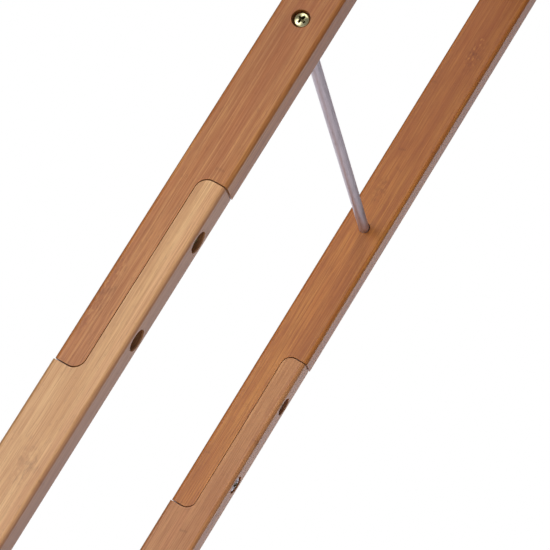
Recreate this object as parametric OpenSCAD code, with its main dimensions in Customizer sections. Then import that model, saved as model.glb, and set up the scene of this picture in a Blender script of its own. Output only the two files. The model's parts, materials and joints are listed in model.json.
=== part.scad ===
// Wall-leaning two-rail ladder shelf in bamboo with steel rods.
// Millimetres, +Z up, wall towards +Y, origin on the floor at the centre of the outer box.
// Each rail is two pieces joined halfway up by a long half-lap.
// d is the direction across a rail's narrow section (front to rear), s runs up the rail.

/* [Rails] */
// Length of each rail along its own axis
rail_len = 1800; // [1740:20:1860]
// Front-to-rear size of the rail section
rail_w = 35; // [32:1:40]
// Side-to-side size of the rail section
rail_t = 25; // [24:1:28]
// Radius of the rail's long edges
edge_r = 3; // [2:0.5:5]
// Clear distance between the two rails
inner_w = 400; // [360:10:460]
// Angle between the rails and the wall
lean = 12; // [10:1:13]

/* [Half-lap joint] */
// Length of the lap along the rail
lap_len = 140; // [120:10:160]
// Radius of the lap's inner corners
lap_r = 8; // [4:1:10]
// Width of the joint line
lap_gap = 0.4; // [0.2:0.1:0.6]
// How far the two pieces stand apart at the lap's shoulders, beyond the joint line
lap_open = 0.4; // [0:0.1:0.6]
// How far the lower piece sits forward of the upper one
lap_step = 0.8; // [0:0.1:1.5]
// Counterbore diameter for the lap screws
lap_cb_d = 15; // [14:0.5:16]
// Counterbore depths on the right rail, upper hole
cb_right_upper = 5.8; // [3.6:0.2:8]
// Counterbore depths on the right rail, lower hole
cb_right_lower = 7; // [3.6:0.2:8]
// Counterbore depths on the left rail, upper hole
cb_left_upper = 5.2; // [3.6:0.2:8]
// Counterbore depths on the left rail, lower hole
cb_left_lower = 3.8; // [3.6:0.2:8]

/* [Rods] */
// Diameter of the rods
rod_d = 8; // [7.5:0.5:9]
// Diameter of the sockets in the rails' inner faces
socket_d = 9; // [9:0.2:9.6]
// How far the sockets sit above the rods, which rest low in them
socket_lift = 0.4; // [0:0.1:0.4]
// Depth of the sockets
socket_depth = 12.5; // [10:0.5:14]
// Distance of the first rod from the rail's foot
rod_first = 285; // [275:5:300]
// Pitch of the rods up the rail
rod_pitch = 400; // [390:5:402]
// Counterbore diameter for the rod and shelf screws
rod_cb_d = 12; // [11:0.5:13]
// Counterbore depth for the rod and shelf screws
rod_cb_depth = 4.4; // [4:0.1:5]

/* [Shelves] */
// Height of the bottom shelf's top face
bottom_z = 200; // [190:2:210]
// Height of the middle shelf's top face
middle_z = 588; // [576:2:596]
// Height of the top shelf's top face
top_z = 1372; // [1366:2:1384]
// Thickness of the shelf cheeks
cheek_t = 15; // [14:1:18]
// Height of the cheeks below the shelf's top face
cheek_down = 32; // [30:1:34]
// Height of the cheeks above the shelf's top face
cheek_up = 23; // [18:1:26]
// Thickness of the front and rear lips
lip_t = 12; // [10:1:14]
// Height of the front lip above the shelf's top face
front_lip_up = 12; // [8:1:16]
// Thickness of the slats
slat_t = 10; // [9:1:11]
// Gap between slats
slat_gap = 8; // [6:1:9]
// How far a shelf stands in front of the rails
overhang = 22; // [20:1:26]

/* [Feet and wall parts] */
// Thickness of the rubber foot pads
foot_t = 5; // [4:0.5:6]
// Thickness of the rubber wall pads
pad_t = 4; // [3:0.5:5]
// Depth of the vertical cut at the rails' tops
top_cut = 8; // [7:0.5:9]
// Thickness of the wall brackets
bracket_t = 2; // [1.5:0.5:2.5]
// Gap behind a wall bracket, which its screw takes up to press the pads home
bracket_gap = 1; // [0.5:0.5:1.5]
// Diameter of the hole for the wall screw
wall_hole_d = 5.5; // [4.5:0.5:6]

/* [Hidden] */
$fn = 48;
honey = [0.80, 0.62, 0.40];
caramel = [0.66, 0.44, 0.27];
steel = [0.72, 0.71, 0.70];
zinc = [0.80, 0.76, 0.66];
dark_rubber = [0.12, 0.12, 0.13];

hw = rail_w / 2;
x_in = inner_w / 2;
x_out = x_in + rail_t;
x_mid = x_in + rail_t / 2;
s_mid = rail_len / 2;
lap_lo = s_mid - lap_len / 2;
lap_hi = s_mid + lap_len / 2;
rod_s = [for (i = [0:3]) rod_first + i * rod_pitch];
// front bottom corner of a foot and the wall plane, before centring
y_front = (foot_t - (hw + lap_step) * sin(lean)) * tan(lean) - (hw + lap_step) * cos(lean);
y_cut = rail_len * sin(lean) + hw * cos(lean) - top_cut;
y_wall = y_cut + pad_t;
y_off = -(y_front + y_wall) / 2;
y_back = y_wall - 3;
// shelf data: top face height, number of slats, on the upper rail pieces or not
shelf_z = [bottom_z, middle_z, top_z];
shelf_n = [7, 5, 2];
shelf_up = [false, false, true];
function front_of(i) = shelf_z[i] * tan(lean) - hw / cos(lean) - overhang;
function inner_of(i) = y_back - front_of(i) - 2 * lip_t;
function slat_w(i) = (inner_of(i) - (shelf_n[i] + 1) * slat_gap) / shelf_n[i];
function slat_y(i, k) = front_of(i) + lip_t + slat_gap + k * (slat_w(i) + slat_gap);
function slat_cy(i, k) = slat_y(i, k) + slat_w(i) / 2;
function gap_cy(i, k) = slat_y(i, k) - slat_gap / 2;
function ledge_gaps(i) = shelf_n[i] > 3 ? [1, floor(shelf_n[i] / 2) + 1, shelf_n[i] - 1] : [1];
function joint_s(i) = (shelf_z[i] + (cheek_up - cheek_down) / 2) / cos(lean);
ledge_w = 12;
ledge_h = 14;
joint_half = 14;
lap_screws_s = [s_mid + lap_len / 4, s_mid - lap_len / 4];
z_pad = (rail_len * cos(lean) - (hw - top_cut / cos(lean)) * sin(lean) + (y_cut - hw * cos(lean)) / tan(lean) - hw * sin(lean)) / 2;
bracket_z = z_pad - 42;
bracket_y = bracket_z * tan(lean);

// local frame of the rails: x across the ladder, y front to rear of the rail, z up the rail
module rail_frame() { translate([0, y_off, 0]) rotate([-lean, 0, 0]) children(); }
module on_side(sgn) { if (sgn < 0) mirror([1, 0, 0]) children(); else children(); }
module rrect(w, h, r) {
  union() {
    square([w - 2 * r, h], center = true);
    square([w, h - 2 * r], center = true);
    for (a = [-1, 1], b = [-1, 1]) translate([a * (w / 2 - r), b * (h / 2 - r)]) circle(r, $fn = 40);
  }
}
// plate with rounded corners in the YZ plane, growing along +X
module yz_plate(y0, z0, y1, z1, r, t) {
  rotate([90, 0, 90]) linear_extrude(t) translate([(y0 + y1) / 2, (z0 + z1) / 2]) rrect(y1 - y0, z1 - z0, r);
}
module x_cyl(d, x0, x1, n = 40) { translate([x0, 0, 0]) rotate([0, 90, 0]) cylinder(d = d, h = x1 - x0, $fn = n); }
// pan-head cross-recess screw, axis +Z out of the head, z = 0 under the head
module pan_screw(hd, hh, sd, len) {
  difference() {
    rotate_extrude($fn = 40) polygon([[0, -len], [sd / 2 - 0.4, -len], [sd / 2, -len + 0.8], [sd / 2, 0], [hd / 2 - 0.2, 0],
      [hd / 2, 0.25], [hd / 2, hh * 0.45], [hd * 0.47, hh * 0.68], [hd * 0.39, hh * 0.86], [hd * 0.27, hh * 0.97], [hd * 0.12, hh], [0, hh]]);
    for (a = [0, 90]) rotate([0, 0, a + 20]) translate([0, 0, hh * 0.3 + 1]) cube([hd * 0.52, hd * 0.11, 2 * (hh * 0.7 - 1) + 2], center = true);
  }
}
// outline of the lower piece at the lap, in (d, s), with e taken off the joint face
module lap_outline(e) {
  union() {
    translate([-30, -100]) square([60, 100 + lap_lo - e]);
    translate([lap_r, lap_lo - e - 1]) square([30 - lap_r, lap_hi - lap_lo + 1]);
    translate([e, lap_lo - e - 1]) square([lap_r, lap_hi - lap_lo + 1 - lap_r + e]);
    intersection() {
      translate([lap_r, lap_hi - lap_r]) circle(lap_r - e, $fn = 48);
      translate([0, lap_hi - lap_r - 0.5]) square([lap_r + 0.5, lap_r + 1]);
    }
    difference() {
      translate([-lap_r, lap_lo - e - 1]) square([lap_r + e + 0.5, lap_r + e + 1]);
      translate([-lap_r, lap_lo + lap_r]) circle(lap_r + e, $fn = 48);
      translate([-lap_r - 1, lap_lo + lap_r]) square([lap_r + 1 + e, 4]);
    }
  }
}
module bar(shift) { translate([x_mid, shift, -40]) linear_extrude(rail_len + 40) rrect(rail_t, rail_w, edge_r); }
module rod_holes(list) {
  for (s = list) translate([0, 0, s]) {
    translate([0, 0, socket_lift]) x_cyl(socket_d, x_in - 1, x_in + socket_depth);
    x_cyl(5.4, x_in, x_out);
    x_cyl(rod_cb_d, x_out - rod_cb_depth, x_out + 1, 48);
  }
}
module shelf_holes(i) {
  for (q = [-1, 1]) translate([0, 0, joint_s(i) + q * joint_half]) {
    x_cyl(5.4, x_in - 1, x_out);
    x_cyl(rod_cb_d, x_out - rod_cb_depth, x_out + 1, 48);
  }
}
module lower_rail(cb) {
  difference() {
    rail_frame() difference() {
      intersection() {
        bar(-lap_step);
        translate([x_in - 1, 0, 0]) rotate([90, 0, 90]) linear_extrude(rail_t + 2) translate([0, -lap_open / 2]) lap_outline(lap_gap / 2);
      }
      translate([0, -lap_step, 0]) { rod_holes([rod_s[0], rod_s[1]]); shelf_holes(0); shelf_holes(1); }
      for (k = [0, 1]) translate([x_mid, 0, lap_screws_s[k]]) rotate([-90, 0, 0]) {
        translate([0, 0, -1]) cylinder(d = 6.4, h = 30, $fn = 40);
        translate([0, 0, hw - lap_step - cb[k]]) cylinder(d = lap_cb_d, h = 20, $fn = 56);
      }
    }
    translate([x_in - 5, -400, foot_t - 100]) cube([rail_t + 10, 800, 100]);
  }
}
module upper_rail() {
  difference() {
    rail_frame() difference() {
      intersection() {
        bar(0);
        translate([x_in - 1, 0, 0]) rotate([90, 0, 90]) linear_extrude(rail_t + 2)
          translate([0, 2 * s_mid + lap_open / 2]) rotate([0, 0, 180]) lap_outline(lap_gap / 2);
      }
      rod_holes([rod_s[2], rod_s[3]]);
      shelf_holes(2);
      for (k = [0, 1]) translate([x_mid, 0, lap_screws_s[k]]) rotate([90, 0, 0])
        translate([0, 0, -1]) cylinder(d = 10.1, h = 14, $fn = 40);
    }
    translate([x_in - 5, y_off + y_cut, z_pad - 200]) cube([rail_t + 10, 60, 400]);
    for (v = [-9, 6]) translate([0, y_off + bracket_y + v, bracket_z]) x_cyl(3.6, x_in - 1, x_in + 16);
  }
}
module right_rail_lower() { color(honey) lower_rail([cb_right_upper, cb_right_lower]); }
module right_rail_upper() { color(caramel) upper_rail(); }
module left_rail_lower() { color(caramel) on_side(-1) lower_rail([cb_left_upper, cb_left_lower]); }
module left_rail_upper() { color(caramel) on_side(-1) upper_rail(); }

// rods with a threaded hole in each end
module rod(k) {
  color(steel) rail_frame() translate([0, k < 2 ? -lap_step : 0, rod_s[k]]) difference() {
    x_cyl(rod_d, -x_in - socket_depth + 0.5, x_in + socket_depth - 0.5, 56);
    for (q = [-1, 1]) on_side(q) x_cyl(5.1, x_in + socket_depth - 16, x_in + socket_depth, 32);
  }
}
module bottom_rod() { rod(0); }
module second_rod() { rod(1); }
module towel_rod() { rod(2); }
module top_rod() { rod(3); }
module rod_screws() {
  rail_frame() for (k = [0:3]) translate([x_out - rod_cb_depth, k < 2 ? -lap_step : 0, rod_s[k]]) rotate([0, 90, 0]) pan_screw(rod_cb_d - 1.2, 3.4, 4.9, 20);
}
module rod_screws_right() { color(zinc) rod_screws(); }
module rod_screws_left() { color(zinc) on_side(-1) rod_screws(); }

// lap screws and the threaded inserts they pull on
module lap_screws(cb) {
  rail_frame() for (k = [0, 1]) translate([x_mid, hw - lap_step - cb[k], lap_screws_s[k]]) rotate([-90, 0, 0]) pan_screw(lap_cb_d - 1.4, 3.6, 5.9, hw + 1.5);
}
module lap_screws_right() { color(zinc) lap_screws([cb_right_upper, cb_right_lower]); }
module lap_screws_left() { color(steel) on_side(-1) lap_screws([cb_left_upper, cb_left_lower]); }
module lap_inserts() {
  color(zinc) for (q = [-1, 1]) on_side(q) rail_frame() for (k = [0, 1]) translate([x_mid, -lap_gap / 2 - 12.2, lap_screws_s[k]]) rotate([-90, 0, 0])
    difference() { cylinder(d = 10, h = 12, $fn = 40); translate([0, 0, -1]) cylinder(d = 6.1, h = 14, $fn = 32); }
}

// shelves
module shelf_screw_set() {
  rail_frame() for (i = [0:2], q = [-1, 1]) translate([x_out - rod_cb_depth, shelf_up[i] ? 0 : -lap_step, joint_s(i) + q * joint_half])
    rotate([0, 90, 0]) pan_screw(rod_cb_d - 1.2, 3.4, 4.9, rail_t - rod_cb_depth + 10);
}
module shelf_screws_right() { color(zinc) shelf_screw_set(); }
module shelf_screws_left() { color(zinc) on_side(-1) shelf_screw_set(); }
lip_screw_z = [-20, 2];
module cheek(i, sgn) {
  color(caramel) on_side(sgn) difference() {
    translate([x_in - cheek_t, y_off, 0]) yz_plate(front_of(i), shelf_z[i] - cheek_down, y_back, shelf_z[i] + cheek_up, 7, cheek_t);
    rail_frame() for (q = [-1, 1]) translate([0, shelf_up[i] ? 0 : -lap_step, joint_s(i) + q * joint_half]) x_cyl(5.1, x_in - 11, x_in + 1, 32);
    for (y = [front_of(i) + lip_t / 2, y_back - lip_t / 2], dz = lip_screw_z) translate([0, y_off + y, shelf_z[i] + dz]) {
      x_cyl(4.2, x_in - cheek_t - 1, x_in, 28);
      x_cyl(8.5, x_in - 3, x_in + 1, 32);
    }
    for (k = ledge_gaps(i)) translate([0, y_off + gap_cy(i, k), shelf_z[i] - slat_t - ledge_h / 2]) x_cyl(3.6, x_in - cheek_t - 1, x_in - 4.5, 28);
  }
}
module lip(i, y0, up) {
  color(caramel) difference() {
    translate([-x_in + cheek_t, y_off, 0]) yz_plate(y0, shelf_z[i] - cheek_down, y0 + lip_t, shelf_z[i] + up, 2.5, 2 * (x_in - cheek_t));
    for (q = [-1, 1], dz = lip_screw_z) on_side(q) translate([0, y_off + y0 + lip_t / 2, shelf_z[i] + dz]) x_cyl(4.1, x_in - cheek_t - 20, x_in - cheek_t + 1, 28);
  }
}
module ledge(i, sgn) {
  color(honey) on_side(sgn) difference() {
    translate([x_in - cheek_t - ledge_w, y_off + front_of(i) + lip_t, shelf_z[i] - slat_t - ledge_h]) cube([ledge_w, inner_of(i), ledge_h]);
    for (k = [0:shelf_n[i] - 1]) translate([x_in - cheek_t - ledge_w / 2, y_off + slat_cy(i, k), shelf_z[i] - slat_t - ledge_h - 1]) cylinder(d = 3.8, h = ledge_h + 2, $fn = 28);
    for (k = ledge_gaps(i)) translate([0, y_off + gap_cy(i, k), shelf_z[i] - slat_t - ledge_h / 2]) x_cyl(3.8, x_in - cheek_t - ledge_w - 1, x_in - cheek_t + 1, 28);
  }
}
module slat(i, k) {
  color(caramel) difference() {
    translate([-x_in + cheek_t + 0.5, y_off, 0]) yz_plate(slat_y(i, k), shelf_z[i] - slat_t, slat_y(i, k) + slat_w(i), shelf_z[i], 2.5, 2 * (x_in - cheek_t) - 1);
    for (q = [-1, 1]) translate([q * (x_in - cheek_t - ledge_w / 2), y_off + slat_cy(i, k), shelf_z[i] - slat_t - 1]) cylinder(d = 3.6, h = 8, $fn = 28);
  }
}
module bottom_cheek_right() { cheek(0, 1); }
module bottom_cheek_left() { cheek(0, -1); }
module bottom_front_lip() { lip(0, front_of(0), front_lip_up); }
module bottom_rear_lip() { lip(0, y_back - lip_t, cheek_up); }
module bottom_ledge_right() { ledge(0, 1); }
module bottom_ledge_left() { ledge(0, -1); }
module bottom_slat_1() { slat(0, 0); }
module bottom_slat_2() { slat(0, 1); }
module bottom_slat_3() { slat(0, 2); }
module bottom_slat_4() { slat(0, 3); }
module bottom_slat_5() { slat(0, 4); }
module bottom_slat_6() { slat(0, 5); }
module bottom_slat_7() { slat(0, 6); }
module middle_cheek_right() { cheek(1, 1); }
module middle_cheek_left() { cheek(1, -1); }
module middle_front_lip() { lip(1, front_of(1), front_lip_up); }
module middle_rear_lip() { lip(1, y_back - lip_t, cheek_up); }
module middle_ledge_right() { ledge(1, 1); }
module middle_ledge_left() { ledge(1, -1); }
module middle_slat_1() { slat(1, 0); }
module middle_slat_2() { slat(1, 1); }
module middle_slat_3() { slat(1, 2); }
module middle_slat_4() { slat(1, 3); }
module middle_slat_5() { slat(1, 4); }
module top_cheek_right() { cheek(2, 1); }
module top_cheek_left() { cheek(2, -1); }
module top_front_lip() { lip(2, front_of(2), front_lip_up); }
module top_rear_lip() { lip(2, y_back - lip_t, cheek_up); }
module top_ledge_right() { ledge(2, 1); }
module top_ledge_left() { ledge(2, -1); }
module top_slat_1() { slat(2, 0); }
module top_slat_2() { slat(2, 1); }
module lip_screws() {
  color(zinc) for (i = [0:2], y = [front_of(i) + lip_t / 2, y_back - lip_t / 2], dz = lip_screw_z, q = [-1, 1]) on_side(q)
    translate([x_in - 3, y_off + y, shelf_z[i] + dz]) rotate([0, 90, 0]) pan_screw(8, 2.6, 4, 30);
}
module ledge_screws() {
  color(zinc) for (i = [0:2], k = ledge_gaps(i), q = [-1, 1]) on_side(q)
    translate([x_in - cheek_t - ledge_w, y_off + gap_cy(i, k), shelf_z[i] - slat_t - ledge_h / 2]) rotate([0, -90, 0]) pan_screw(7, 2.4, 3.5, 22);
}
module slat_screws() {
  color(zinc) for (i = [0:2], k = [0:shelf_n[i] - 1], q = [-1, 1])
    translate([q * (x_in - cheek_t - ledge_w / 2), y_off + slat_cy(i, k), shelf_z[i] - slat_t - ledge_h]) rotate([180, 0, 0]) pan_screw(7, 2.4, 3.5, 20);
}

// feet, wall pads and wall brackets
module foot_pad(sgn) {
  color(dark_rubber) on_side(sgn) translate([x_mid, y_off + foot_t * tan(lean) - lap_step / cos(lean), 0]) linear_extrude(foot_t) rrect(rail_t - 2, rail_w - 1, 3);
}
module wall_pad(sgn) {
  color(dark_rubber) on_side(sgn) translate([x_mid, y_off + y_cut, z_pad]) rotate([-90, 0, 0]) linear_extrude(pad_t) rrect(rail_t - 7, 28, 3);
}
module foot_pad_right() { foot_pad(1); }
module foot_pad_left() { foot_pad(-1); }
module wall_pad_right() { wall_pad(1); }
module wall_pad_left() { wall_pad(-1); }
module wall_bracket(sgn) {
  color(steel) on_side(sgn) difference() {
    union() {
      translate([x_in - bracket_t, y_off, 0]) yz_plate(bracket_y - 16, bracket_z - 10, y_wall - bracket_gap, bracket_z + 10, 2, bracket_t);
      translate([x_in - 28, y_off + y_wall - bracket_gap - bracket_t, bracket_z - 10]) cube([28, bracket_t, 20]);
    }
    for (v = [-9, 6]) translate([0, y_off + bracket_y + v, bracket_z]) x_cyl(4, x_in - 5, x_in + 1, 28);
    translate([x_in - 16, y_off + y_wall - 10, bracket_z]) rotate([-90, 0, 0]) cylinder(d = wall_hole_d, h = 20, $fn = 40);
  }
}
module wall_bracket_right() { wall_bracket(1); }
module wall_bracket_left() { wall_bracket(-1); }
module bracket_screws() {
  color(zinc) for (v = [-9, 6], q = [-1, 1]) on_side(q)
    translate([x_in - bracket_t, y_off + bracket_y + v, bracket_z]) rotate([0, -90, 0]) pan_screw(7, 2.4, 3.5, 16);
}

right_rail_lower();
right_rail_upper();
left_rail_lower();
left_rail_upper();
bottom_rod();
second_rod();
towel_rod();
top_rod();
rod_screws_right();
rod_screws_left();
lap_screws_right();
lap_screws_left();
lap_inserts();
shelf_screws_right();
shelf_screws_left();
bottom_cheek_right();
bottom_cheek_left();
bottom_front_lip();
bottom_rear_lip();
bottom_ledge_right();
bottom_ledge_left();
bottom_slat_1();
bottom_slat_2();
bottom_slat_3();
bottom_slat_4();
bottom_slat_5();
bottom_slat_6();
bottom_slat_7();
middle_cheek_right();
middle_cheek_left();
middle_front_lip();
middle_rear_lip();
middle_ledge_right();
middle_ledge_left();
middle_slat_1();
middle_slat_2();
middle_slat_3();
middle_slat_4();
middle_slat_5();
top_cheek_right();
top_cheek_left();
top_front_lip();
top_rear_lip();
top_ledge_right();
top_ledge_left();
top_slat_1();
top_slat_2();
lip_screws();
ledge_screws();
slat_screws();
foot_pad_right();
foot_pad_left();
wall_pad_right();
wall_pad_left();
wall_bracket_right();
wall_bracket_left();
bracket_screws();
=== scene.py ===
import json
import math

import bmesh
import bpy
from mathutils import Matrix, Vector

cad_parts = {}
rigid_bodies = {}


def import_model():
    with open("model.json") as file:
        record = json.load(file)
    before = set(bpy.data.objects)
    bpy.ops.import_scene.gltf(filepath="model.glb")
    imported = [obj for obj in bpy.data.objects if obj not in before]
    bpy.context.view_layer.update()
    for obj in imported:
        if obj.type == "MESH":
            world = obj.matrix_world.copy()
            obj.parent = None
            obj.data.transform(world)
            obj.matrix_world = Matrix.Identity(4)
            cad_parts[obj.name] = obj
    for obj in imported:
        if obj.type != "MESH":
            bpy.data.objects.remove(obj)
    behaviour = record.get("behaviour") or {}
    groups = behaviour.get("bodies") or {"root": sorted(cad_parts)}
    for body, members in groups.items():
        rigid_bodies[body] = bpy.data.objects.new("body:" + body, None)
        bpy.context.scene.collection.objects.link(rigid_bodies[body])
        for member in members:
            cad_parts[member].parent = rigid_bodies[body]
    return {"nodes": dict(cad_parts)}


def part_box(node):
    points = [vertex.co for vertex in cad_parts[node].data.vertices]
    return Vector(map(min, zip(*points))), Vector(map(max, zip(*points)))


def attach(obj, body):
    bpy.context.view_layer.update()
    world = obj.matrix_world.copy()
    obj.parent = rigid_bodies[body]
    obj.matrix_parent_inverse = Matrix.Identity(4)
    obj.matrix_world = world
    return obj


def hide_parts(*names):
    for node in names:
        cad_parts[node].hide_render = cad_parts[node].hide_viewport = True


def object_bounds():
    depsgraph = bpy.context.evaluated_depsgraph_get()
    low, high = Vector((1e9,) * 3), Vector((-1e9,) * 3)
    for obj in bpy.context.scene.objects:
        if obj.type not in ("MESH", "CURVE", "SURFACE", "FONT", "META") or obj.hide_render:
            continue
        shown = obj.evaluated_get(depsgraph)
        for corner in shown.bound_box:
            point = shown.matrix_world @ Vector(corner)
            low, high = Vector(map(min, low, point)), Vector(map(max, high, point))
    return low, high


for o in list(bpy.data.objects):
    bpy.data.objects.remove(o)

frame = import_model()
nodes = frame["nodes"]
cad_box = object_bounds()
scene = bpy.context.scene

# ---------------------------------------------------------------- geometry facts
LEAN = math.radians(12.0)
SN, CS = math.sin(LEAN), math.cos(LEAN)
LO, HI = cad_box
X_OUT = HI.x                       # outer face of the right rail


def box_mid(n):
    a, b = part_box(n)
    return (a + b) / 2


ROD = box_mid("towel_rod")         # the towel rod's middle, on the rails' centre line
L_AX = Vector((0, SN, CS))         # up the rail
D_AX = Vector((0, CS, -SN))        # front to rear across the rail
ROD_D, ROD_L = ROD.dot(D_AX), ROD.dot(L_AX)
ROD_X = X_OUT - 0.0125             # middle of a rail's thickness
LAP_HOLES = (-0.150, -0.220)       # lap screws, measured up the rail from the towel rod
N_AX = Vector((-1, 0, 0))          # from the right rail to the left


def rail_point(x, s, d):
    """World point at distance s above the towel rod along the rails, d towards the rear."""
    return Vector((x, ROD.y, ROD.z)) + L_AX * s + D_AX * d


# ---------------------------------------------------------------- camera
# rows: image right, image down, view direction, each in (N, L, D)
CAM_R = ((0.12414909, 0.51714357, 0.84684682),
         (0.28251479, -0.83654866, 0.46943768),
         (0.95119525, 0.18096649, -0.24995746))
CAM_T = (0.01571126, -0.15632030, 1.53847249)
F_PX = 2524.13


def nld(v):
    return N_AX * v[0] + L_AX * v[1] + D_AX * v[2]


def make_camera():
    right, down, fwd = nld(CAM_R[0]), nld(CAM_R[1]), nld(CAM_R[2])
    c = [-sum(CAM_R[i][k] * CAM_T[i] for i in range(3)) for k in range(3)]
    pos = Vector((X_OUT, ROD.y, ROD.z)) + nld(c)
    cam = bpy.data.objects.new("camera", bpy.data.cameras.new("camera"))
    m = Matrix.Identity(4)
    for i in range(3):
        m[i][0], m[i][1], m[i][2], m[i][3] = right[i], -down[i], -fwd[i], pos[i]
    cam.matrix_world = m
    cam.data.sensor_width = 36.0
    cam.data.lens = 36.0 * F_PX / 550.0
    cam.data.clip_start, cam.data.clip_end = 0.05, 60.0
    scene.collection.objects.link(cam)
    scene.camera = cam
    return cam


cam = make_camera()
CAM_POS = cam.matrix_world.translation.copy()


# ---------------------------------------------------------------- node helpers
class NB:
    """Small helper for writing node trees."""

    def __init__(self, name):
        self.m = bpy.data.materials.new(name)
        self.m.use_nodes = True
        self.t = self.m.node_tree
        self.t.nodes.clear()
        self.out = self.t.nodes.new("ShaderNodeOutputMaterial")
        self.b = self.t.nodes.new("ShaderNodeBsdfPrincipled")
        self.t.links.new(self.b.outputs[0], self.out.inputs[0])

    def n(self, kind, **kw):
        x = self.t.nodes.new(kind)
        for k, v in kw.items():
            setattr(x, k, v)
        return x

    def link(self, a, b):
        self.t.links.new(a, b)

    def put(self, sock, v):
        if isinstance(v, bpy.types.NodeSocket):
            self.link(v, sock)
        else:
            sock.default_value = v

    def math(self, op, a, b=0.0, c=0.0, clamp=False):
        x = self.n("ShaderNodeMath", operation=op, use_clamp=clamp)
        for i, v in enumerate((a, b, c)):
            if len(x.inputs) > i:
                self.put(x.inputs[i], v)
        return x.outputs[0]

    def mapr(self, v, a, b, c, d, smooth=False):
        x = self.n("ShaderNodeMapRange")
        x.interpolation_type = "SMOOTHSTEP" if smooth else "LINEAR"
        for i, q in enumerate((v, a, b, c, d)):
            self.put(x.inputs[i], q)
        return x.outputs[0]

    def mix(self, f, a, b, blend="MIX"):
        x = self.n("ShaderNodeMix", data_type="RGBA", blend_type=blend)
        self.put(x.inputs[0], f)
        self.put(x.inputs[6], a)
        self.put(x.inputs[7], b)
        return x.outputs[2]

    def noise(self, vec, scale, detail=2.0, rough=0.5, dist=0.0):
        x = self.n("ShaderNodeTexNoise", noise_dimensions="3D")
        self.put(x.inputs["Vector"], vec)
        self.put(x.inputs["Scale"], scale)
        self.put(x.inputs["Detail"], detail)
        self.put(x.inputs["Roughness"], rough)
        self.put(x.inputs["Distortion"], dist)
        return x.outputs[0]

    def white(self, vec):
        x = self.n("ShaderNodeTexWhiteNoise", noise_dimensions="3D")
        self.put(x.inputs["Vector"], vec)
        return x.outputs[0]

    def comb(self, x, y, z):
        c = self.n("ShaderNodeCombineXYZ")
        for i, v in enumerate((x, y, z)):
            self.put(c.inputs[i], v)
        return c.outputs[0]

    def sep(self, v):
        s = self.n("ShaderNodeSeparateXYZ")
        self.put(s.inputs[0], v)
        return s.outputs[0], s.outputs[1], s.outputs[2]

    def bump(self, h, strength, dist, normal=None):
        x = self.n("ShaderNodeBump")
        x.inputs["Strength"].default_value = strength
        x.inputs["Distance"].default_value = dist
        self.put(x.inputs["Height"], h)
        if normal is not None:
            self.link(normal, x.inputs["Normal"])
        return x.outputs[0]


def lin(r, g, b):
    """sRGB 0-255 to scene-linear."""
    f = lambda v: (v / 255 / 12.92) if v / 255 <= 0.04045 else (((v / 255) + 0.055) / 1.055) ** 2.4
    return (f(r), f(g), f(b), 1.0)


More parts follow.
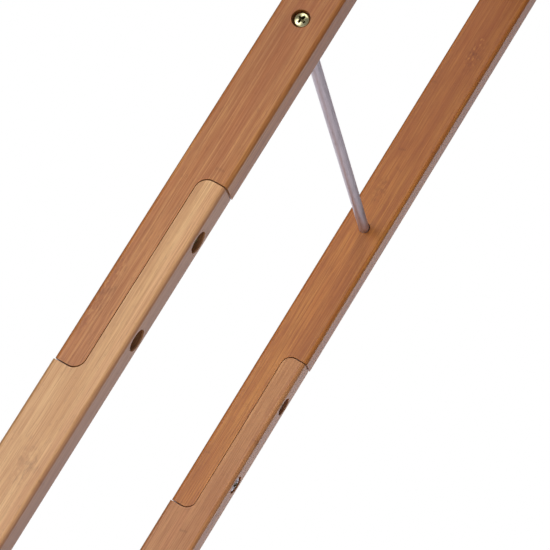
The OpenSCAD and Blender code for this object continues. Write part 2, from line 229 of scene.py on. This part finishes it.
def bamboo(name, grain, base, dark, light, seed, strip=0.0058, knots=1.0, gloss=0.42, pink=(0, 0, 0, 1), contrast=1.0, spots=(), holes=False, lines=(), painted_shade=None, back=None):
    """Strip bamboo. grain is the direction of the fibres: 'rail', 'x', 'y'.
    spots are (across, along, half width, half length, strength) of knuckle stains on a rail."""
    k = NB(name)
    tc = k.n("ShaderNodeTexCoord").outputs["Object"]
    rot = k.n("ShaderNodeMapping", vector_type="POINT")
    k.link(tc, rot.inputs[0])
    if grain == "rail":        # turn the rail upright: z along the fibres, y across front to rear
        rot.inputs[2].default_value = (LEAN, 0, 0)
        rot.inputs[1].default_value = (0, -ROD_D, -ROD_L)
    elif grain == "x":
        rot.inputs[2].default_value = (0, -math.pi / 2, 0)
    elif grain == "y":
        rot.inputs[2].default_value = (math.pi / 2, 0, 0)
    u, v, w = k.sep(rot.outputs[0])
    mul, add, sub = (lambda a, b: k.math("MULTIPLY", a, b)), (lambda a, b: k.math("ADD", a, b)), (lambda a, b: k.math("SUBTRACT", a, b))
    # a slow wander of the fibres
    wob = k.noise(k.comb(mul(u, 8.0), seed * 1.7, mul(w, 5.0)), 1.0, 2.0)
    vw = add(v, mul(sub(wob, 0.5), 0.0022))
    # strips: thin lamellas side by side, each with its own tone and its own knuckles
    vi = k.math("FLOOR", k.math("DIVIDE", add(vw, 0.4 + seed * 0.013), strip))
    ui = k.math("FLOOR", k.math("DIVIDE", add(u, 1.0 + seed * 0.007), strip * 3.6))
    tone = k.white(k.comb(vi, ui, seed))
    tone2 = k.white(k.comb(ui, vi, seed + 7.3))

    def fibre(across, along, detail, rough, dist=0.0, shift=0.0):
        return k.noise(k.comb(add(mul(u, across), shift), mul(vw, across), mul(w, along)), 1.0, detail, rough, dist)

    f1 = fibre(900.0, 15.0, 2.0, 0.6)                 # 1 mm streaks
    f2 = fibre(1700.0, 34.0, 2.0, 0.6, 0.0, 5.0)      # half-millimetre fibres
    f3 = fibre(300.0, 3.2, 2.0, 0.5, 0.0, 9.0)        # 3 mm bands
    f4 = fibre(110.0, 1.4, 1.0, 0.5, 0.0, 13.0)        # broad bands
    mot = fibre(95.0, 10.0, 3.0, 0.62, 0.5, 17.0)      # mottling from the culm's wall
    pore = fibre(700.0, 240.0, 2.0, 0.6, 0.0, 21.0)    # short flecks
    dash = k.mapr(fibre(2300.0, 110.0, 1.0, 0.5, 0.0, 3.0), 0.62, 0.72, 0.0, 1.0, True)
    # knuckles: each lamella has one about every 0.34 m, at its own height
    off = mul(tone2, 0.34)
    wk = add(add(w, off), 3.0 + seed * 0.11)
    kd = sub(k.math("FRACT", k.math("DIVIDE", wk, 0.34)), 0.5)
    kw = k.noise(k.comb(mul(u, 160.0), mul(v, 160.0), seed), 1.0, 1.0)
    kd = k.math("ABSOLUTE", add(kd, mul(sub(kw, 0.5), 0.012)))
    ring = k.mapr(kd, 0.0, 0.0045, 1.0, 0.0, True)
    halo = k.mapr(kd, 0.0, 0.040, 1.0, 0.0, True)
    fade = k.mapr(k.white(k.comb(vi, ui, seed + 3.1)), 0.45, 1.0, 0.0, 1.0)
    ring = mul(mul(ring, fade), 0.30 * knots)
    halo = mul(mul(halo, fade), 0.34 * knots)
    # put the colour together
    c = k.mix(k.mapr(mot, 0.30, 0.70, 0.15, 0.75, True), base, light)
    c = k.mix(k.mapr(tone, 0.0, 1.0, 0.0, 0.42 * contrast), c, dark)
    c = k.mix(k.mapr(tone2, 0.45, 1.0, 0.0, 0.35), c, pink)
    c = k.mix(mul(k.mapr(f4, 0.45, 0.66, 0.0, 1.0, True), 0.22 * contrast), c, dark)
    c = k.mix(mul(k.mapr(f4, 0.52, 0.34, 0.0, 1.0, True), 0.42 * contrast), c, light)
    c = k.mix(mul(k.mapr(f3, 0.44, 0.64, 0.0, 1.0, True), 0.24 * contrast), c, dark)
    c = k.mix(mul(k.mapr(f1, 0.45, 0.62, 0.0, 1.0), 0.46 * contrast), c, dark)
    c = k.mix(mul(k.mapr(f1, 0.46, 0.32, 0.0, 1.0), 0.16 * contrast), c, light)
    c = k.mix(mul(k.mapr(f2, 0.46, 0.62, 0.0, 1.0), 0.56 * contrast), c, dark)
    deep = tuple(x * 0.40 for x in dark[:3]) + (1.0,)
    c = k.mix(mul(k.mapr(pore, 0.58, 0.74, 0.0, 1.0, True), 0.20 * contrast), c, deep)
    c = k.mix(mul(dash, 0.26 * contrast), c, deep)
    c = k.mix(halo, c, dark)
    c = k.mix(ring, c, deep)
    if painted_shade:                  # painted shade: the rail darker toward its upper end, where the light falls off, partly the wood's own tone: (from, to, amount)
        c = k.mix(k.mapr(w, painted_shade[0], painted_shade[1], 0.0, painted_shade[2], True), c, (dark[0] * 0.66, dark[1] * 0.50, dark[2] * 0.22, 1.0))
    for (sv, sw, rv, rw, amount) in spots:
        dv = k.math("DIVIDE", sub(v, sv), rv)
        dw = k.math("DIVIDE", sub(w, sw), rw)
        d2 = add(mul(dv, dv), mul(dw, dw))
        edge = add(d2, mul(sub(mot, 0.5), 1.6))
        body = k.mapr(edge, 0.15, 1.15, 1.0, 0.0, True)
        c = k.mix(mul(body, 0.26 * amount), c, dark)
        fleck = k.mapr(pore, 0.50, 0.64, 0.0, 1.0, True)
        c = k.mix(mul(mul(body, fleck), 0.30 * amount), c, deep)
        c = k.mix(mul(mul(body, k.mapr(pore, 0.46, 0.34, 0.0, 1.0, True)), 0.45 * amount), c, light)
        arc = k.math("ABSOLUTE", add(dw, mul(sub(kw, 0.5), 0.5)))
        c = k.mix(mul(mul(k.mapr(arc, 0.0, 0.16, 1.0, 0.0, True), k.mapr(k.math("ABSOLUTE", dv), 0.5, 1.2, 1.0, 0.0, True)), 0.20 * amount), c, deep)
    for at in lines:           # the glue lines between plies, seen on the narrow faces
        gl = k.math("ABSOLUTE", add(sub(k.math("ABSOLUTE", u), at), mul(sub(wob, 0.5), 0.0006)))
        c = k.mix(mul(k.mapr(gl, 0.0, 0.0010, 1.0, 0.0, True), 0.34), c, deep)
    if back:                   # painted shade: the rear narrow face, which faces away from the light, painted browner and darker: (colour, amount)
        c = k.mix(k.mapr(v, 0.0142, 0.0172, 0.0, back[1], True), c, back[0])
    if grain == "rail":        # painted shade: the front arris, turning away from the light, is painted darker
        c = k.mix(mul(k.mapr(v, -0.0158, -0.0171, 0.0, 1.0, True), 0.50), c, deep)
    if holes:                  # painted shade inside the drilled holes, partly the bare wood's own darker colour, with drilling ridges: darker, rough
        r_in = sub(k.math("ABSOLUTE", u), ROD_X)
        m = None
        for hs in LAP_HOLES:
            dz = sub(w, hs)
            rr = k.math("SQRT", add(mul(r_in, r_in), mul(dz, dz)))
            q = mul(k.mapr(rr, 0.0074, 0.0078, 1.0, 0.0), k.mapr(v, 0.0155, 0.0162, 1.0, 0.0))
            m = q if m is None else k.math("MAXIMUM", m, q)
        hole_wood_and_shade = k.mix(k.mapr(f1, 0.35, 0.65, 0.0, 1.0), lin(142, 80, 44), lin(96, 48, 26))
        ridge = k.math("FRACT", k.math("DIVIDE", add(add(v, 0.1), mul(sub(wob, 0.5), 0.0010)), 0.0012))
        hole_wood_and_shade = k.mix(mul(k.mapr(ridge, 0.35, 0.75, 0.0, 1.0, True), 0.62), hole_wood_and_shade, lin(58, 28, 16))
        c = k.mix(m, c, hole_wood_and_shade)
    k.link(c, k.b.inputs["Base Color"])
    k.link(add(mul(f1, 0.16), gloss - 0.06), k.b.inputs["Roughness"])
    k.b.inputs["Specular IOR Level"].default_value = 0.42
    k.b.inputs["Coat Weight"].default_value = 0.25
    k.b.inputs["Coat Roughness"].default_value = 0.28
    k.b.inputs["Coat IOR"].default_value = 1.45
    h = add(mul(f1, 0.5), add(mul(f2, 0.4), mul(ring, -0.8)))
    nb = k.bump(h, 0.20, 0.00010)
    wave = k.noise(k.comb(mul(u, 90.0), mul(v, 90.0), mul(w, 12.0)), 1.0, 1.0)
    nb = k.bump(wave, 0.10, 0.0006, nb)
    k.link(nb, k.b.inputs["Normal"])
    return k.m


def metal(name, base, dark, rough, axis="x", scale=1.0, aniso=0.0, streak=0.12, speck=0.3, tint=None, full=1.0):
    k = NB(name)
    tc = k.n("ShaderNodeTexCoord").outputs["Object"]
    x, y, z = k.sep(tc)
    if axis == "x":
        vec = k.comb(k.math("MULTIPLY", x, 26.0), k.math("MULTIPLY", y, 2600.0 * scale), k.math("MULTIPLY", z, 2600.0 * scale))
    else:
        vec = k.comb(k.math("MULTIPLY", x, 1900.0 * scale), k.math("MULTIPLY", y, 1900.0 * scale), k.math("MULTIPLY", z, 1900.0 * scale))
    f = k.noise(vec, 1.0, 3.0, 0.6)
    blot = k.noise(k.comb(k.math("MULTIPLY", x, 90.0), k.math("MULTIPLY", y, 240.0), k.math("MULTIPLY", z, 240.0)), 1.0, 3.0, 0.6)
    c = k.mix(k.math("MULTIPLY", k.mapr(f, 0.38, 0.68, 0.0, 1.0), streak * 2.0), base, dark)
    c = k.mix(k.math("MULTIPLY", k.mapr(blot, 0.45, 0.75, 0.0, 1.0, True), speck), c, tint or dark)
    k.link(c, k.b.inputs["Base Color"])
    k.b.inputs["Metallic"].default_value = full
    k.link(k.math("ADD", k.math("MULTIPLY", f, 0.16), rough - 0.08), k.b.inputs["Roughness"])
    k.link(k.bump(f, 0.12, 0.00004), k.b.inputs["Normal"])
    return k.m


def rubber(name):
    k = NB(name)
    tc = k.n("ShaderNodeTexCoord").outputs["Object"]
    f = k.noise(tc, 1400.0, 3.0, 0.6)
    g = k.noise(tc, 140.0, 2.0, 0.5)
    c = k.mix(k.mapr(g, 0.35, 0.7, 0.0, 1.0), lin(30, 30, 32), lin(52, 51, 52))
    c = k.mix(k.math("MULTIPLY", k.mapr(f, 0.55, 0.75, 0.0, 1.0), 0.4), c, lin(84, 82, 80))
    k.link(c, k.b.inputs["Base Color"])
    k.link(k.mapr(f, 0.3, 0.7, 0.55, 0.78), k.b.inputs["Roughness"])
    k.link(k.bump(f, 0.35, 0.0001), k.b.inputs["Normal"])
    return k.m


# colours
CAR, CAR_D, CAR_L = lin(188, 119, 54), lin(146, 81, 30), lin(210, 155, 88)
CAR_P = lin(196, 118, 66)
HON, HON_D, HON_L = lin(212, 165, 108), lin(178, 124, 72), lin(226, 186, 130)
HON_P = lin(216, 156, 110)
PLY = (X_OUT - 0.0063, X_OUT - 0.0148)
RAIL = dict(holes=True, lines=PLY)
M = {
    "upper_r": bamboo("bamboo_upper_right", "rail", CAR, CAR_D, CAR_L, 1.0, pink=CAR_P, spots=((-0.0131, -0.205, 0.007, 0.030, 0.7), (0.006, 0.32, 0.008, 0.02, 0.8)), painted_shade=(-0.14, 0.03, 0.36), **RAIL),
    "lower_r": bamboo("bamboo_lower_right", "rail", HON, HON_D, HON_L, 2.0, pink=HON_P, contrast=0.85, back=(lin(160, 104, 78), 0.62), spots=((0.0038, -0.317, 0.008, 0.016, 0.75), (-0.004, -0.71, 0.010, 0.02, 0.8)), **RAIL),
    "upper_l": bamboo("bamboo_upper_left", "rail", lin(188, 113, 40), lin(144, 75, 20), lin(206, 142, 60), 3.0, pink=lin(192, 110, 48), spots=((0.0035, 0.164, 0.007, 0.020, 1.0), (-0.0049, 0.0324, 0.006, 0.016, 0.8)), painted_shade=(-0.02, 0.14, 0.28), **RAIL),
    "lower_l": bamboo("bamboo_lower_left", "rail", lin(197, 138, 80), lin(158, 98, 50), lin(212, 158, 98), 4.0, pink=lin(202, 134, 86), spots=((-0.006, -0.42, 0.008, 0.02, 0.8),), **RAIL),
    "cheek": bamboo("bamboo_cheek", "y", CAR, CAR_D, CAR_L, 5.0, pink=CAR_P),
    "lip": bamboo("bamboo_lip", "x", CAR, CAR_D, CAR_L, 6.0, pink=CAR_P),
    "slat": bamboo("bamboo_slat", "x", lin(200, 136, 80), CAR_D, lin(220, 162, 106), 7.0, strip=0.0071, pink=CAR_P),
    "ledge": bamboo("bamboo_ledge", "y", HON, HON_D, HON_L, 8.0, pink=HON_P),
    "rod": metal("drawn_steel", lin(206, 197, 202), lin(156, 147, 154), 0.46, "x", streak=0.22, speck=0.35, full=0.88),
    "zinc": metal("yellow_zinc", lin(190, 184, 142), lin(112, 108, 72), 0.24, "r", speck=0.7, tint=lin(134, 138, 98)),
    "bright": metal("bright_zinc", lin(222, 218, 220), lin(160, 156, 160), 0.28, "r"),
    "brass": metal("turned_brass", lin(206, 170, 96), lin(150, 116, 60), 0.30, "r"),
    "sheet": metal("zinc_sheet", lin(200, 200, 202), lin(156, 158, 164), 0.36, "r", scale=0.4, speck=0.5),
    # painted shade for the screws' cross recesses
    "recess": metal("recess_painted_shade", lin(112, 106, 72), lin(62, 58, 40), 0.46, "r", speck=0.6),
    "rubber": rubber("black_rubber"),
}


def paint(o, m):
    o.data.materials.clear()
    o.data.materials.append(m)


# ---------------------------------------------------------------- CAD nodes: finish edges
def finish_edges(o, width, seg=2, angle=35.0):
    me = o.data
    me.polygons.foreach_set("use_smooth", [True] * len(me.polygons))
    for a in ("sharp_edge", "custom_normal"):
        if a in me.attributes:
            me.attributes.remove(me.attributes[a])
    w = o.modifiers.new("weld", "WELD")
    w.merge_threshold = 2e-6
    d = o.modifiers.new("flat", "DECIMATE")
    d.decimate_type = "DISSOLVE"
    d.angle_limit = math.radians(0.6)
    if width > 0:
        b = o.modifiers.new("edges", "BEVEL")
        b.width, b.segments = width, seg
        b.limit_method, b.angle_limit = "ANGLE", math.radians(angle)
        b.miter_outer = "MITER_ARC"
        b.use_clamp_overlap = True
    n = o.modifiers.new("normals", "WEIGHTED_NORMAL")
    n.weight, n.keep_sharp = 80, False


for name, o in nodes.items():
    if "_rail_" in name:
        key = ("upper" if name.endswith("upper") else "lower") + ("_r" if name.startswith("right") else "_l")
        paint(o, M[key])
        finish_edges(o, 0.0003)
    elif name.endswith("_rod"):
        paint(o, M["rod"])
        finish_edges(o, 0.0002)
    elif "slat_" in name and "screws" not in name:
        paint(o, M["slat"])
        finish_edges(o, 0.0008)
    elif "cheek" in name:
        paint(o, M["cheek"])
        finish_edges(o, 0.0012, 3)
    elif name.endswith("_lip"):
        paint(o, M["lip"])
        finish_edges(o, 0.0008)
    elif "ledge_" in name and "screws" not in name:
        paint(o, M["ledge"])
        finish_edges(o, 0.0006)
    elif "pad" in name:
        paint(o, M["rubber"])
        finish_edges(o, 0.0006)
    elif "bracket_" in name and "screws" not in name:
        paint(o, M["sheet"])
        finish_edges(o, 0.0003)
    elif name == "lap_inserts":
        paint(o, M["brass"])
        finish_edges(o, 0.0)
    elif name == "lap_screws_left":
        paint(o, M["bright"])
        finish_edges(o, 0.0)
    else:
        paint(o, M["zinc"])
        finish_edges(o, 0.0)

# ---------------------------------------------------------------- screws, as separate turned pieces
def shell(name, verts, faces):
    me = bpy.data.meshes.new(name)
    me.from_pydata(verts, [], faces)
    me.validate()
    o = bpy.data.objects.new(name, me)
    scene.collection.objects.link(o)
    return o


def lathe(name, prof, n=56):
    """Closed body of revolution from (radius, z) points; the first and last lie on the axis."""
    verts, faces = [(0, 0, prof[0][1])], []
    rings = prof[1:-1]
    for r, z in rings:
        verts += [(r * math.cos(2 * math.pi * i / n), r * math.sin(2 * math.pi * i / n), z) for i in range(n)]
    verts.append((0, 0, prof[-1][1]))
    last = len(verts) - 1
    for i in range(n):
        j = (i + 1) % n
        faces.append((0, 1 + j, 1 + i))
        for k in range(len(rings) - 1):
            p, q = 1 + k * n, 1 + (k + 1) * n
            faces.append((p + i, p + j, q + j, q + i))
        faces.append((1 + (len(rings) - 1) * n + i, 1 + (len(rings) - 1) * n + j, last))
    return shell(name, verts, faces)


def wedge(name, top_w, bot_w, top_t, bot_t, z_top, z_bot, turn):
    c, d = math.cos(turn), math.sin(turn)
    pts = []
    for w, t, z in ((bot_w, bot_t, z_bot), (top_w, top_t, z_top)):
        for a, b in ((-1, -1), (1, -1), (1, 1), (-1, 1)):
            x, y = a * w / 2, b * t / 2
            pts.append((x * c - y * d, x * d + y * c, z))
    return shell(name, pts, [(3, 2, 1, 0), (4, 5, 6, 7), (0, 1, 5, 4), (1, 2, 6, 5), (2, 3, 7, 6), (3, 0, 4, 7)])


def pan_head(key, hd, hh, sd, length):
    """Pan-head cross-recess screw in millimetres turned to metres; +Z out of the head, z = 0 under it."""
    r = hd / 2
    prof = [(0, -length), (sd / 2 - 0.9, -length), (sd / 2 - 0.5, -length + 0.5), (sd / 2 - 0.05, -length + 1.2),
            (sd / 2 - 0.05, -0.35), (sd / 2, 0), (r - 0.35, 0), (r - 0.12, 0.06), (r - 0.02, 0.22), (r, 0.36 * hh)]
    for i in range(1, 9):      # rounded rim up to the crown
        t = math.radians(90 * i / 8 * 0.86)
        prof.append((r - 0.21 * r * (1 - math.cos(t)) * 1.25, 0.36 * hh + 0.47 * hh * math.sin(t)))
    r1, z1 = prof[-1]
    for i in range(1, 7):      # shallow crown
        f = i / 7
        prof.append((r1 * (1 - f), z1 + (hh - z1) * (1 - (1 - f) ** 2)))
    prof.append((0, hh))
    m = 0.001
    o = lathe("tmp_" + key, [(a * m, b * m) for a, b in prof])
    w = 0.62 * hd * m
    cuts = [wedge("cut_a", w * 1.02, 0.3 * w, 0.165 * hd * m, 0.11 * hd * m, (hh + 0.3) * m, 0.14 * hh * m, 0.0),
            wedge("cut_b", w * 1.02, 0.3 * w, 0.165 * hd * m, 0.11 * hd * m, (hh + 0.3) * m, 0.14 * hh * m, math.pi / 2),
            lathe("cut_c", [(0, 0.22 * hh * m), (0.06 * hd * m, 0.24 * hh * m), (0.155 * hd * m, (hh + 0.3) * m), (0, (hh + 0.3) * m)], 8)]
    for q in cuts:
        b = o.modifiers.new(q.name, "BOOLEAN")
        b.operation, b.solver, b.object = "DIFFERENCE", "EXACT", q
    e = o.modifiers.new("soft", "BEVEL")
    e.width, e.segments, e.limit_method, e.angle_limit = 0.012 * hd * m, 2, "ANGLE", math.radians(38)
    bpy.context.view_layer.update()
    dg = bpy.context.evaluated_depsgraph_get()
    me = bpy.data.meshes.new_from_object(o.evaluated_get(dg))
    me.name = "screw_" + key
    for q in cuts + [o]:
        bpy.data.objects.remove(q)
    for f in me.polygons:      # painted shade: the cross recess gets its own darker material
        c = f.center
        rad = math.hypot(c.x, c.y) / m
        crown = hh - 0.2 * hh * (rad / r) ** 2
        if rad < 0.36 * hd and c.z / m < crown - 0.08 * hh and c.z > 0:
            f.material_index = 1
    return me


HERO = {"m5": pan_head("m5", 10.8, 3.4, 4.9, 20.0), "shelf": pan_head("shelf", 10.8, 3.4, 4.9, 30.6),
        "lap": pan_head("lap", 13.6, 3.6, 5.9, 19.0), "lip": pan_head("lip", 8.0, 2.6, 4.0, 30.0),
        "small22": pan_head("small22", 7.0, 2.4, 3.5, 22.0), "small20": pan_head("small20", 7.0, 2.4, 3.5, 20.0),
        "small16": pan_head("small16", 7.0, 2.4, 3.5, 16.0)}
HEAD_H = {"m5": 0.0034, "shelf": 0.0034, "lap": 0.0036, "lip": 0.0026, "small22": 0.0024, "small20": 0.0024, "small16": 0.0024}


def loose_parts(o):
    """Point sets of a group node's separate solids."""
    co = [v.co.copy() for v in o.data.vertices]
    key = [tuple(round(c * 1e6) for c in p) for p in co]
    first, root = {}, list(range(len(co)))

    def find(i):
        while root[i] != i:
            root[i] = root[root[i]]
            i = root[i]
        return i

    for i, q in enumerate(key):
        if q in first:
            root[find(i)] = find(first[q])
        else:
            first[q] = i
    for f in o.data.polygons:
        vs = list(f.vertices)
        for j in vs[1:]:
            root[find(j)] = find(vs[0])
    out = {}
    for i in range(len(co)):
        out.setdefault(find(i), []).append(co[i])
    return sorted(out.values(), key=lambda ps: tuple(round(sum(p[k] for p in ps) / len(ps), 5) for k in (2, 1, 0)))


def head_frame(ps, axis):
    """(point on the axis under the head's crown, axis) of one screw from its points."""
    top = max(p.dot(axis) for p in ps)
    tip = min(p.dot(axis) for p in ps)
    end = [p for p in ps if p.dot(axis) < tip + 1e-5]
    c = sum((p for p in end), Vector()) / len(end)
    lo_, hi_ = [min(p[i] for p in end) for i in range(3)], [max(p[i] for p in end) for i in range(3)]
    c = Vector([(lo_[i] + hi_[i]) / 2 for i in range(3)])
    return c + axis * (top - c.dot(axis)), top - tip


def set_screws(node, kind, axis_of, mat, turns=None, nudge=None):
    o = nodes[node]
    bm = bmesh.new()
    for i, ps in enumerate(loose_parts(o)):
        axis = axis_of(ps)
        crown, length = head_frame(ps, axis)
        if kind == "auto":
            which = min(("small16", "small20", "small22"), key=lambda q: abs({"small16": 0.0184, "small20": 0.0224, "small22": 0.0244}[q] - length))
        else:
            which = kind
        z = axis.normalized()
        x = Vector((0, 0, 1)) if abs(z.z) < 0.9 else Vector((0, 1, 0))
        x = (x - z * x.dot(z)).normalized()
        turn = math.radians((37 * i + 23 * len(node)) % 90)
        if turns and i in turns:
            turn = math.radians(turns[i])
        m = Matrix.Identity(4)
        y = z.cross(x)
        for r in range(3):
            m[r][0], m[r][1], m[r][2] = x[r], y[r], z[r]
        seat = crown - z * HEAD_H[which]
        if nudge and i in nudge:
            seat = seat + nudge[i]
        m.translation = seat
        tmp = HERO[which].copy()
        tmp.transform(m @ Matrix.Rotation(turn, 4, "Z"))
        bm.from_mesh(tmp)
        bpy.data.meshes.remove(tmp)
    me = bpy.data.meshes.new(node + "_turned")
    bm.to_mesh(me)
    bm.free()
    h = bpy.data.objects.new(node + "_turned", me)
    scene.collection.objects.link(h)
    me.polygons.foreach_set("use_smooth", [True] * len(me.polygons))
    wn = h.modifiers.new("normals", "WEIGHTED_NORMAL")
    wn.weight, wn.keep_sharp = 60, False
    h.data.materials.append(mat)
    h.data.materials.append(M["recess"])
    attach(h, "root")
    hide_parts(node)
    return h


def out_x(ps):
    return Vector((1 if sum(p.x for p in ps) > 0 else -1, 0, 0))


def in_x(ps):
    return -out_x(ps)


set_screws("rod_screws_right", "m5", out_x, M["zinc"], turns={2: 59.0}, nudge={2: D_AX * 0.00035 + L_AX * 0.00015})
set_screws("rod_screws_left", "m5", out_x, M["zinc"])
set_screws("shelf_screws_right", "shelf", out_x, M["zinc"])
set_screws("shelf_screws_left", "shelf", out_x, M["zinc"])
set_screws("lap_screws_right", "lap", lambda ps: D_AX, M["zinc"], turns={0: 10.0, 1: 30.0})
set_screws("lap_screws_left", "lap", lambda ps: D_AX, M["bright"], turns={0: 20.0, 1: 40.0})
set_screws("lip_screws", "lip", out_x, M["zinc"])
set_screws("ledge_screws", "auto", in_x, M["zinc"])
set_screws("slat_screws", "auto", lambda ps: Vector((0, 0, -1)), M["zinc"])
set_screws("bracket_screws", "auto", in_x, M["zinc"])

# ---------------------------------------------------------------- floor, light, world
bm = bmesh.new()
bmesh.ops.create_grid(bm, x_segments=2, y_segments=2, size=6.0)
me = bpy.data.meshes.new("floor")
bm.to_mesh(me)
bm.free()
floor = bpy.data.objects.new("floor", me)
scene.collection.objects.link(floor)
fm = NB("floor_paint")
fm.b.inputs["Base Color"].default_value = (0.86, 0.86, 0.86, 1)
fm.b.inputs["Roughness"].default_value = 0.8
floor.data.materials.append(fm.m)


def area(name, pos, target, size, power, color=(1, 1, 1)):
    d = bpy.data.lights.new(name, "AREA")
    d.shape, d.size, d.energy, d.color = "SQUARE", size, power, color
    o = bpy.data.objects.new(name, d)
    o.location = pos
    o.rotation_euler = (Vector(target) - Vector(pos)).to_track_quat("-Z", "Y").to_euler()
    o.visible_camera = False
    scene.collection.objects.link(o)
    return o


T = Vector((0.0, 0.0, 1.0))


def soft(name, direction, dist, size, radiance, color=(1, 1, 1)):
    """A square softbox of the given radiance, seen from the object's middle in that direction."""
    return area(name, T + Vector(direction).normalized() * dist, T, size, radiance * math.pi * size * size, color)


soft("key", (0.66, -0.10, 0.74), 5.2, 2.2, 5.0, (1.0, 0.985, 0.965))

world = bpy.data.worlds.new("studio")
scene.world = world
world.use_nodes = True
t = world.node_tree
t.nodes.clear()


def wn(kind, **kw):
    x = t.nodes.new(kind)
    for k_, v_ in kw.items():
        setattr(x, k_, v_)
    return x


def wmath(op, a_, b_=0.0):
    x = wn("ShaderNodeMath", operation=op)
    for i, v_ in enumerate((a_, b_)):
        if isinstance(v_, bpy.types.NodeSocket):
            t.links.new(v_, x.inputs[i])
        else:
            x.inputs[i].default_value = v_
    return x.outputs[0]


DIR = wn("ShaderNodeTexCoord").outputs["Generated"]


def toward(c):
    x = wn("ShaderNodeVectorMath", operation="DOT_PRODUCT")
    t.links.new(DIR, x.inputs[0])
    x.inputs[1].default_value = Vector(c).normalized()
    return x.outputs["Value"]


def ramp(v_, lo_, hi_, a_, b_):
    x = wn("ShaderNodeMapRange")
    x.interpolation_type = "SMOOTHSTEP"
    t.links.new(v_, x.inputs[0])
    for i, q in enumerate((lo_, hi_, a_, b_)):
        x.inputs[1 + i].default_value = q
    return x.outputs[0]


env = ramp(toward((-0.98, -0.10, 0.17)), 0.896, 0.944, 0.0, 1.7)           # the lit backdrop
env = wmath("ADD", env, ramp(toward((1.0, -0.1, 0.1)), 0.0, 1.0, 0.16, 0.36))   # the room, lighter on the camera's side
env = wmath("ADD", env, ramp(toward((0.905, -0.42, 0.0)), 0.955, 0.990, 0.0, 6.0))         # a low softbox in front
env = wmath("ADD", env, ramp(toward((0.0, 0.0, 1.0)), 0.70, 0.95, 0.0, 1.5))              # a bounce ceiling
out = wn("ShaderNodeOutputWorld")
bg_cam = wn("ShaderNodeBackground")
bg_cam.inputs[0].default_value = (1, 1, 1, 1)
bg_cam.inputs[1].default_value = 1.0
bg_env = wn("ShaderNodeBackground")
bg_env.inputs[0].default_value = (0.96, 0.93, 1.0, 1)
t.links.new(env, bg_env.inputs[1])
lp = wn("ShaderNodeLightPath")
mx = wn("ShaderNodeMixShader")
t.links.new(lp.outputs["Is Camera Ray"], mx.inputs[0])
t.links.new(bg_env.outputs[0], mx.inputs[1])
t.links.new(bg_cam.outputs[0], mx.inputs[2])
t.links.new(mx.outputs[0], out.inputs[0])

scene.view_settings.view_transform = "Standard"
scene.view_settings.look = "None"
scene.view_settings.exposure = 0.0
